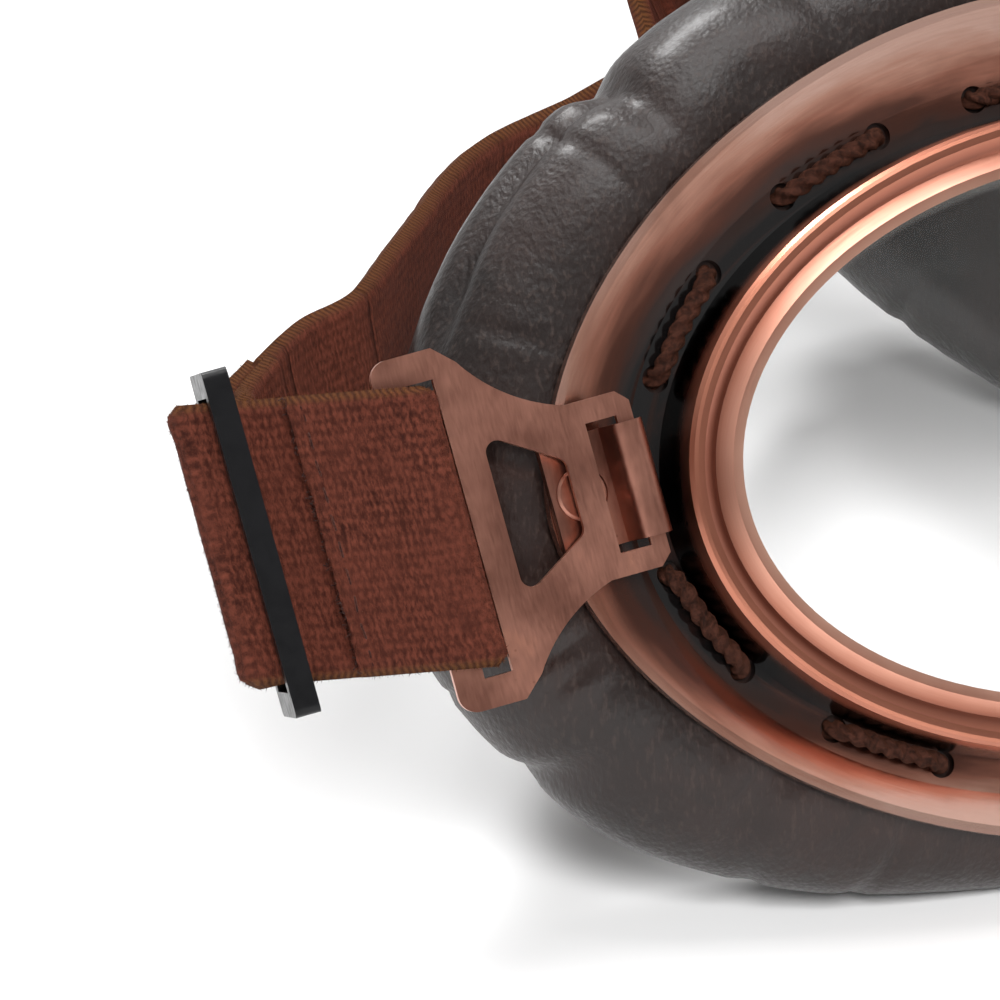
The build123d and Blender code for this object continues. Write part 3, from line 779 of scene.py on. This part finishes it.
# short fibres that stand off a piece of cord or webbing
def napped(made, density, length, seed):
    name = made.name
    made.name = name + "Bare"
    work = Making(name + "Nap")
    seedIn = work.entry("Seed", seed)
    spread = work.node("GeometryNodeDistributePointsOnFaces", {
        "Mesh": work.given(), "Seed": seedIn,
        "Density": work.entry("Fibres per square metre", density * 1e6),
    }, distribute_method="RANDOM")
    fibre = work.node("GeometryNodeMeshCone", {
        "Vertices": 3, "Radius Top": 0, "Radius Bottom": 0.035 * mm,
        "Depth": work.entry("Fibre length", length * mm),
    }, fill_type="NONE")
    size = work.node("FunctionNodeRandomValue", {2: 0.45, 3: 1.0, "Seed": seedIn}, data_type="FLOAT")
    fibres = leaning(work, spread, 0.95, seedIn, {
        "Instance": fibre, "Rotation": spread.outputs["Rotation"], "Scale": size.outputs[1],
    })
    both = work.node("GeometryNodeJoinGeometry", {0: fibres})
    work.tree.links.new(work.given(), both.inputs[0])
    work.finish(both, made.data.materials[0])
    return work.makeOn(made, name)


# the same stitches as in the part's source
lace = {
    "sideOffset": 6.6, "topOffset": 6.85, "shiftZ": 0.4, "tabZ": 3.1, "tabGap": 17.2,
    "stitch": 10.5, "stitches": 11, "thick": 1.75, "front": 5.2, "back": 9.45,
    "twist": 1350.0, "groove": 0.17, "core": 0.86, "nap": (2, 0.26), "step": 0.28,
}


def laceWalk():
    halfW = lensSize["halfW"] + lace["sideOffset"]
    halfH = lensSize["halfH"] + lace["topOffset"]
    start = asin((lace["tabZ"] - lace["shiftZ"]) / halfH)
    places, run, last = [], 0.0, None
    for step in range(1441):
        angle = start + 2 * pi * step / 1440
        point = Vector((-halfW * cos(angle), lace["shiftZ"] + halfH * sin(angle)))
        run += (point - last).length if last is not None else 0
        places.append((run, point))
        last = point
    return places


def laceAt(walk, run):
    for (low, a), (high, b) in zip(walk, walk[1:]):
        if low <= run <= high:
            return a.lerp(b, (run - low) / (high - low))
    return walk[0][1]


def laceRoute():
    walk = laceWalk()
    around = walk[-1][0]
    period = (around - lace["tabGap"] - lace["stitch"]) / (lace["stitches"] - 1)
    holes = []
    for index in range(lace["stitches"]):
        first = lace["tabGap"] / 2 + index * period
        holes += [first, first + lace["stitch"]]
    start = laceAt(walk, 0.1)
    route = [Vector((start.x, lace["back"], start.y))]
    coming, going = lace["back"], lace["front"]
    for run, following in zip(holes, holes[1:] + [2 * (around - 0.1) - holes[-1]]):
        spot, middle = laceAt(walk, run), laceAt(walk, (run + following) / 2)
        route += [Vector((spot.x, depth, spot.y)) for depth in (coming, going)]
        route.append(Vector((middle.x, going, middle.y)))
        coming, going = going, coming
    return route


def makeLace(sideName, material):
    work = Making("laceTwist_" + sideName)
    even = work.node("GeometryNodeResampleCurve", {
        "Curve": work.given(), "Length": lace["step"] * mm,
    }, mode="LENGTH")
    run = work.node("GeometryNodeSplineParameter")
    amount = work.math("MULTIPLY", run.outputs["Length"], work.entry("Twist per metre", lace["twist"]))
    tilt = work.node("GeometryNodeSetCurveTilt", {"Curve": even, "Tilt": amount})
    # three strands: a circle whose radius swells three times round
    circle = work.node("GeometryNodeCurvePrimitiveCircle", {
        "Resolution": 30, "Radius": work.entry("Cord radius", lace["thick"] * mm / 2),
    }, mode="RADIUS")
    place = work.node("GeometryNodeInputPosition")
    parts = work.node("ShaderNodeSeparateXYZ", {0: place})
    angle = work.math("ARCTAN2", parts.outputs["Y"], parts.outputs["X"])
    wave = work.math("COSINE", work.math("MULTIPLY", angle, 3.0))
    size = work.math("MULTIPLY_ADD", wave, lace["groove"], lace["core"])
    grown = work.node("ShaderNodeVectorMath", {0: place, "Scale": size}, operation="SCALE")
    strands = work.node("GeometryNodeSetPosition", {"Geometry": circle, "Position": grown})
    tube = work.node("GeometryNodeCurveToMesh", {
        "Fill Caps": True, "Curve": tilt, "Profile Curve": strands,
    })
    work.finish(tube, material)
    route = [inRow(cupFrame(), place, sideName) for place in laceRoute()]
    made = work.makeOn(pathOf("lacePath", [route], "NURBS"), "laceCord_" + sideName, smooth=True)
    facingOut(made)
    made = napped(made, *lace["nap"], 4)
    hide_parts("lace_" + sideName)
    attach(made, sideName + "_cup")


# a band with soft edges laid along a line; runs are measured from the side tab's bar
band = {
    "width": 24.6, "thick": 1.9, "gap": 0.15, "buckle": 1.2, "columns": 34, "ragged": 0.45,
    "buckleRun": 20.1, "endRun": 27.6, "foldRun": 37.3, "tailEnd": (21, 7.3), "nap": 0.42,
}


def smoothLine(places, step):
    dense = []
    for index in range(len(places) - 1):
        before = places[max(index - 1, 0)]
        a, b = places[index], places[index + 1]
        after = places[min(index + 2, len(places) - 1)]
        count = max(2, int((b - a).length / step))
        for k in range(count):
            t = k / count
            m0, m1 = (b - before) * 0.5, (after - a) * 0.5
            h = (2 * t ** 3 - 3 * t ** 2 + 1) * a + (t ** 3 - 2 * t ** 2 + t) * m0
            dense.append(h + (-2 * t ** 3 + 3 * t ** 2) * b + (t ** 3 - t ** 2) * m1)
    dense.append(places[-1])
    return dense


def bandProfile():
    half, edge = band["width"] / 2, band["thick"] / 2
    profile = []
    for k in range(band["columns"] + 1):
        across = -half + band["width"] * k / band["columns"]
        inset = max(0, abs(across) - (half - edge)) / edge
        selvedge = 1 + 0.16 * exp(-((abs(across) - half + 1.6) / 0.7) ** 2)
        profile.append((across, edge * sqrt(max(0.0, 1 - inset ** 2)) * selvedge))
    return profile + [(across, -rise) for across, rise in reversed(profile[1:-1])]


# cut names the ends that are ragged: 0 the first, -1 the last
def makeBand(name, line, ups, material, startRun=0.0, cut=(), seed=8.0, nap=0):
    outline = bandProfile()
    points, weave = [], []
    run = startRun
    raggedAt = [index % len(line) for index in cut]
    for index, (centre, up) in enumerate(zip(line, ups)):
        before, after = line[max(index - 1, 0)], line[min(index + 1, len(line) - 1)]
        along = (after - before).normalized()
        flat = along.cross(up).normalized()
        run += (centre - line[index - 1]).length / mm if index else 0
        for across, rise in outline:
            jag = 0
            if index in raggedAt:
                jag = band["ragged"] * noise.noise(Vector((across * 1.9, rise * 2, seed)))
            ripple = 0.05 * noise.noise(Vector((run * 0.5, across * 0.35, seed)))
            place = centre + up * (across * mm) + flat * ((rise + ripple) * mm) + along * (jag * mm)
            points.append(place)
            weave.append((run, across, rise))
    made = gridPiece(name, points, len(outline), material, False)
    kept = made.data.attributes.new("weave", "FLOAT_VECTOR", "POINT")
    for spot, value in zip(kept.data, weave):
        spot.vector = value
    if nap:
        made = napped(made, nap, band["nap"], 7)
    return made


# a line of places in a frame of one side, with the band standing upright all along it
def bandLine(matrix, places, sideName):
    line = [inRow(matrix, place, sideName) for place in smoothLine(places, 0.7)]
    up = inRow(matrix, (0, 0, 1), sideName) - inRow(matrix, (0, 0, 0), sideName)
    return line, [up.normalized()] * len(line)


def makeStrapEnd(sideName, webbing):
    bar = band["buckle"] / 2 + band["gap"] + band["thick"] / 2
    lie = band["gap"] / 2 + band["thick"] / 2
    inSlot = stand["slotRun"] + band["gap"] + band["thick"] / 2
    turn = band["foldRun"] - band["thick"] / 2
    tail = band["gap"] / 2 + band["thick"] * 1.5 + band["gap"]
    merge, neck = band["buckleRun"] + band["thick"] * 1.5, band["buckleRun"] + 0.6
    flat = [
        (band["endRun"], -lie), (25, -lie), (merge, -lie), (neck, -bar + 0.35), (18.6, -bar),
        (inSlot + 0.8, -bar + 0.15), (inSlot, -bar * 0.4), (inSlot, bar * 0.4),
        (inSlot + 0.8, bar - 0.15), (18.6, bar), (neck, bar - 0.35), (merge, lie), (29, lie),
        (turn - 1.6, lie), (turn - 0.3, lie + 0.2), (turn, (lie + tail) / 2),
        (turn - 0.3, tail - 0.2), (turn - 1.6, tail), (32.8, tail), (27.6, 4.5), (24, 5.95),
        band["tailEnd"],
    ]
    places = [Vector((-s, t, riseAt(s))) for s, t in flat]
    line, ups = bandLine(strapFrame(), places, sideName)
    seed = 2.0 + sides[sideName]
    made = makeBand("strapEnd_" + sideName, line, ups, webbing, cut=(0, -1), seed=seed, nap=8)
    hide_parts("strap_end_" + sideName)
    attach(made, sideName + "_buckle")


loop = {
    "bore": 1.62, "length": 11.0, "flatAt": 8, "angles": (1.6, 2.1, 2.62, 3.14, 3.66, 4.18, 4.68),
}


def headRise():
    matrix = loopFrame().to_3x3()
    along, up = matrix @ Vector((1, 0, 0)), matrix @ Vector((0, 0, 1))
    return -along.z / up.z


def makeHeadLoop(sideName, webbing):
    radius = loop["bore"] + band["thick"] / 2
    lie = band["thick"] / 2 + band["gap"] / 2
    out = [(loop["length"], lie), (loop["flatAt"], lie), (radius * 1.5, lie + 0.25)]
    out.append((radius * 0.55, radius * 0.93))
    turn = [(radius * cos(angle), radius * sin(angle)) for angle in loop["angles"]]
    flat = out + turn + [(x, -y) for x, y in reversed(out)]
    rise = headRise()
    places = [Vector((x, y, rise * max(0, x))) for x, y in flat]
    line, ups = bandLine(loopFrame(), places, sideName)
    seed = 5.0 + sides[sideName]
    made = makeBand("headLoop_" + sideName, line, ups, webbing, cut=(0,), seed=seed, nap=4)
    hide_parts("head_loop_" + sideName)
    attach(made, sideName + "_slider")


# the way round the back, by shares of half its reach and millimetres of sag, then the pieces:
# where each ends as a share of the length, and the two bodies it stretches between
head = {
    "twistRun": 40, "droop": 10.2, "tuck": 4.2,
    "route": [
        (0.74, -2.6), (0.52, -1.5), (0.3, -0.4), (0.1, -1.4), (-0.08, -6), (-0.26, -9.5),
        (-0.44, -7.5), (-0.62, -2.6), (-0.78, -1.2),
    ],
    "pieces": [
        ("headStrapRoot_right", 0.04, "right_slider", "right_buckle"),
        ("headStrapNear_right", 0.13, "right_buckle", "right_cup"),
        ("headStrapRun_right", 0.44, "right_cup", "bridge"),
        ("headStrapBack", 0.56, "bridge", "bridge"),
        ("headStrapRun_left", 0.87, "bridge", "left_cup"),
        ("headStrapNear_left", 0.96, "left_cup", "left_buckle"),
        ("headStrapRoot_left", 1, "left_buckle", "left_slider"),
    ],
}


def headLine():
    rise = headRise()
    run, far = loop["length"] - 0.4, loop["length"] + band["gap"] + band["width"] / 3
    joint = loopFrame() @ Vector((run, 0, rise * run))
    beyond = loopFrame() @ Vector((far, 0, rise * far))
    tilt = (loopFrame() @ Vector((0, 0, 1)) - loopFrame() @ Vector((0, 0, 0))).normalized()
    otherTilt = Vector((-tilt.x, tilt.y, tilt.z))
    reach = -joint.x
    places = [joint, beyond]
    places += [Vector((-reach * across, joint.y + sag, joint.z)) for across, sag in head["route"]]
    places += [Vector((-beyond.x, beyond.y, beyond.z)), Vector((-joint.x, joint.y, joint.z))]
    for place in places:
        fade = 1 - step01(place.x, 53, 64)
        place.z -= head["droop"] * step01(place.x, 14, 33) * fade
        place.y -= head["tuck"] * step01(place.x, 30, 44) * fade
    line = smoothLine(places, 0.9)
    ups = []
    for place in line:
        right = max(0, 1 - (place - joint).length / head["twistRun"])
        left = max(0, 1 - (place - Vector((reach, joint.y, joint.z))).length / head["twistRun"])
        up = tilt * right + otherTilt * left + Vector((0, 0, 1)) * (1 - right - left)
        ups.append(up.normalized())
    return [place * mm for place in line], ups


def makeHeadStrap(webbing):
    line, ups = headLine()
    total = len(line) - 1
    low, run = 0, 0.0
    for name, share, here, there in head["pieces"]:
        high = int(total * share)
        part = line[low:high + 1]
        made = makeBand(name, part, ups[low:high + 1], webbing, startRun=run)
        run += sum((b - a).length for a, b in zip(part, part[1:])) / mm
        if here == there:
            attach(made, here)
        else:
            tuple(part[0])
            tuple(part[-1])
            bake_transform(made)
        if low == 0:
            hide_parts("head_strap")
        low = high


# loose threads at the cut ends
fray = {"thick": 0.05, "reach": (0.12, 0.4), "cut": 70, "tail": 120}


def makeFray(name, sideName, places, direction, thread, seed):
    chance = random.Random(seed)
    heading = Vector(direction).normalized()
    lines = []
    for place in places:
        sway = [chance.uniform(-0.2, 0.2), chance.uniform(-0.3, 0.2), chance.uniform(-0.3, 0.3)]
        reach = chance.uniform(*fray["reach"])
        spots = [
            Vector(place) + heading * (reach * k / 3) + Vector(sway) * (k / 3) ** 2 for k in range(4)
        ]
        lines.append([inRow(strapFrame(), spot, sideName) for spot in spots])
    work = Making(name + "Making")
    circle = work.node("GeometryNodeCurvePrimitiveCircle", {
        "Resolution": 5, "Radius": work.entry("Thread radius", fray["thick"] * mm),
    }, mode="RADIUS")
    tube = work.node("GeometryNodeCurveToMesh", {
        "Fill Caps": True, "Curve": work.given(), "Profile Curve": circle,
    })
    work.finish(tube, thread)
    made = work.makeOn(pathOf(name + "Path", lines), name)
    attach(made, sideName + "_buckle")


def makeFrays(sideName, thread):
    chance = random.Random(11)
    half = band["width"] / 2
    lie = -(band["gap"] / 2 + band["thick"] / 2)

    def along(run, middle, spread, count):
        return [
            (-run, middle + chance.uniform(-spread, spread), riseAt(run) + chance.uniform(-half, half))
            for k in range(count)
        ]

    cut = along(band["endRun"], lie, 0.7, fray["cut"])
    makeFray("frayCut_" + sideName, sideName, cut, (-1, -0.15, 0), thread, 21)
    tail = along(*band["tailEnd"], 0.8, fray["tail"])
    makeFray("frayTail_" + sideName, sideName, tail, (1, 0.5, 0), thread, 22)


def makeBartack(sideName, thread):
    half = band["width"] / 2 - 1.6
    run = band["endRun"] - 1.1
    front = -(band["gap"] / 2 + band["thick"]) - 0.02
    places = []
    for k in range(61):
        place = (-run, front, riseAt(run) - half + 2 * half * k / 60)
        places.append(inRow(strapFrame(), place, sideName))
    made = stitchRow("barTack_" + sideName, places, thread, 1.5, 0.2, gap=0.7, seed=3)
    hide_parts("strap_bartack_" + sideName)
    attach(made, sideName + "_buckle")


# CAD pieces take a finish, and an edge softened by so many millimetres
def dressMetal():
    fitting = fittingFinish("fittingCopper", cupFrame(), (4.0, 1.4, 0.8))
    rivet = fittingFinish("rivetCopper", cupFrame(), (2.5, 2.5, 2.5), 0.08)
    buckle = fittingFinish("buckleCopper", strapFrame(), (5.0, 2.0, 0.7), thick=band["buckle"])
    link = Matrix.Translation(Vector(stand["link"]))
    dressing = {
        "bezel": (bezelFinish(), 0.22), "front_plate": (plateFinish(), 0.2),
        "buckle": (buckle, 0.34), "side_tab": (fitting, 0.1), "nose_tab": (fitting, 0.1),
        "side_rivet": (rivet, 0.06), "nose_rivet": (rivet, 0.06),
        "nose_link": (fittingFinish("linkCopper", link, (1.2, 1.2, 7.0), 0.04), 0.25),
        "slider": (enamelFinish(), 0.3), "lens_gasket": (rubberFinish(), 0),
        "lens_retainer": (steelFinish(), 0), "lens": (lensFinish(), 0),
    }
    for name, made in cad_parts.items():
        kind = name if name in dressing else name.rsplit("_", 1)[0]
        if kind in dressing:
            material, soft = dressing[kind]
            made.data.materials.clear()
            made.data.materials.append(material)
            if soft:
                softened(made, soft)
    print("metal, glass and rubber dressed")


def makeScene():
    dressMetal()
    leather, webbing, cord, wadding = leatherFinish(), webbingFinish(), laceFinish(), waddingFinish()
    padThread = threadFinish("padThread", paint(30, 22, 20), paint(62, 48, 42))
    frayThread = threadFinish("frayThread", paint(34, 16, 12), paint(64, 33, 25))
    strapThread = threadFinish("strapThread", paint(34, 16, 12), paint(66, 34, 25))
    for sideName in sides:
        makePad(sideName, leather)
        makeWadding(sideName, wadding)
        padSeam(sideName, padThread)
        print("leather", sideName)
        makeLace(sideName, cord)
        makeStrapEnd(sideName, webbing)
        makeHeadLoop(sideName, webbing)
        makeBartack(sideName, strapThread)
        makeFrays(sideName, frayThread)
        print("lace and webbing", sideName)
    makeHeadStrap(webbing)
    print("head strap")


view = {
    "target": (-60.45, 33.91, 37.2), "azimuth": -73.79, "elevation": 22.905, "roll": -1.76,
    "distance": 650, "focal": 269.86,
}


def makeCamera():
    azimuth, elevation = radians(view["azimuth"]), radians(view["elevation"])
    level = cos(elevation)
    away = Vector((sin(azimuth) * level, -cos(azimuth) * level, sin(elevation)))
    data = bpy.data.cameras.new("photoView")
    data.lens = view["focal"]
    data.sensor_width = 36
    data.clip_start = 0.01
    camera = placed("photoView", data)
    facing = away.to_track_quat("Z", "Y").to_matrix().to_4x4()
    place = Matrix.Translation((Vector(view["target"]) + away * view["distance"]) * mm)
    camera.matrix_world = place @ facing @ turned(view["roll"], "Z")
    bpy.context.scene.camera = camera


# a white studio: a floor, three lamps, and what the metal and the camera see around them
studio = {
    "floor": (0.91, 0.93), "floorLift": 0.03, "far": 6.0, "grey": 0.25, "wallFrom": (0.1, 0.55),
    "room": [(0.0, 0.9), (0.12, 0.8), (0.24, 0.32), (0.42, 0.28), (0.56, 0.7), (1.0, 0.85)],
    "wall": [(0.0, 0.9), (0.35, 1.0), (0.6, 0.5), (1.0, 0.75)],
    "aim": (-0.03, 0.0, 0.04),
    "lamps": {
        "keyLight": {"place": (-1.0, -0.38, 0.74), "size": 0.4, "power": 20.0, "inMetal": False},
        "topBox": {"place": (-0.1, 0.0, 1.15), "size": 0.6, "power": 5.5, "inMetal": True},
        "rimBox": {"place": (0.42, 0.5, 0.8), "size": 0.22, "power": 5.0, "inMetal": True},
    },
}


def makeFloor():
    made = Finish("paleFloor", {"Roughness": 0.75, "Specular IOR Level": 0.2, "Emission Strength": 1.0})
    rays = addNode(made.tree, "ShaderNodeLightPath").outputs
    white = Value(made, rays["Is Camera Ray"])
    for name in ("Is Glossy Ray", "Is Transmission Ray"):
        white = white.do("MAXIMUM", rays[name])
    grain = made.noise(made.objectPlace(), 3.0, 2.0)
    tone = made.mix(grain, *(grey(level) for level in studio["floor"]))
    lift = made.mix(white, grey(0), grey(studio["floorLift"]))
    material = made.ends(tone, **{"Emission Color": lift})
    far = studio["far"]
    corners = [(-far, -far, 0), (far, -far, 0), (far, far, 0), (-far, far, 0)]
    meshPiece("floor", corners, [(0, 1, 2, 3)], material, False)


def makeLamp(name, look):
    data = bpy.data.lights.new(name, "AREA")
    data.shape = "RECTANGLE"
    data.size = data.size_y = look["size"]
    data.energy = look["power"]
    lamp = placed(name, data)
    direction = Vector(studio["aim"]) - Vector(look["place"])
    lamp.location = look["place"]
    lamp.rotation_euler = direction.to_track_quat("-Z", "Y").to_euler()
    lamp.visible_glossy = look["inMetal"]


def makeLight():
    world = bpy.data.worlds.new("studio")
    bpy.context.scene.world = world
    world.use_nodes = True
    tree = world.node_tree
    rays = addNode(tree, "ShaderNodeLightPath").outputs
    where = addNode(tree, "ShaderNodeTexCoord").outputs["Generated"]
    parts = addNode(tree, "ShaderNodeSeparateXYZ", {0: where}).outputs

    def shades(name):
        stops = [(place, grey(level)) for place, level in studio[name]]
        return addNode(tree, "ShaderNodeValToRGB", {0: parts["Z"]}, stops)

    def mixed(share, first, second):
        sockets = {0: share, 6: first, 7: second}
        return addNode(tree, "ShaderNodeMix", sockets, data_type="RGBA").outputs[2]

    # a dark room in front of the goggles, a white wall behind them, both seen in the metal
    low, high = studio["wallFrom"]
    sockets = {"Value": parts["X"], "From Min": low, "From Max": high}
    behind = addNode(tree, "ShaderNodeMapRange", sockets)
    mirrored = mixed(behind, shades("room"), shades("wall"))
    light = mixed(rays["Is Glossy Ray"], grey(studio["grey"]), mirrored)
    straight = addNode(tree, "ShaderNodeMath", {
        0: rays["Is Camera Ray"], 1: rays["Is Transmission Ray"],
    }, operation="MAXIMUM")
    feed(tree, tree.nodes["Background"].inputs["Color"], mixed(straight, light, grey(1)))
    for name, look in studio["lamps"].items():
        makeLamp(name, look)
    bpy.context.scene.view_settings.view_transform = "Standard"


makeCamera()
makeScene()
makeFloor()
makeLight()
print("scene done")
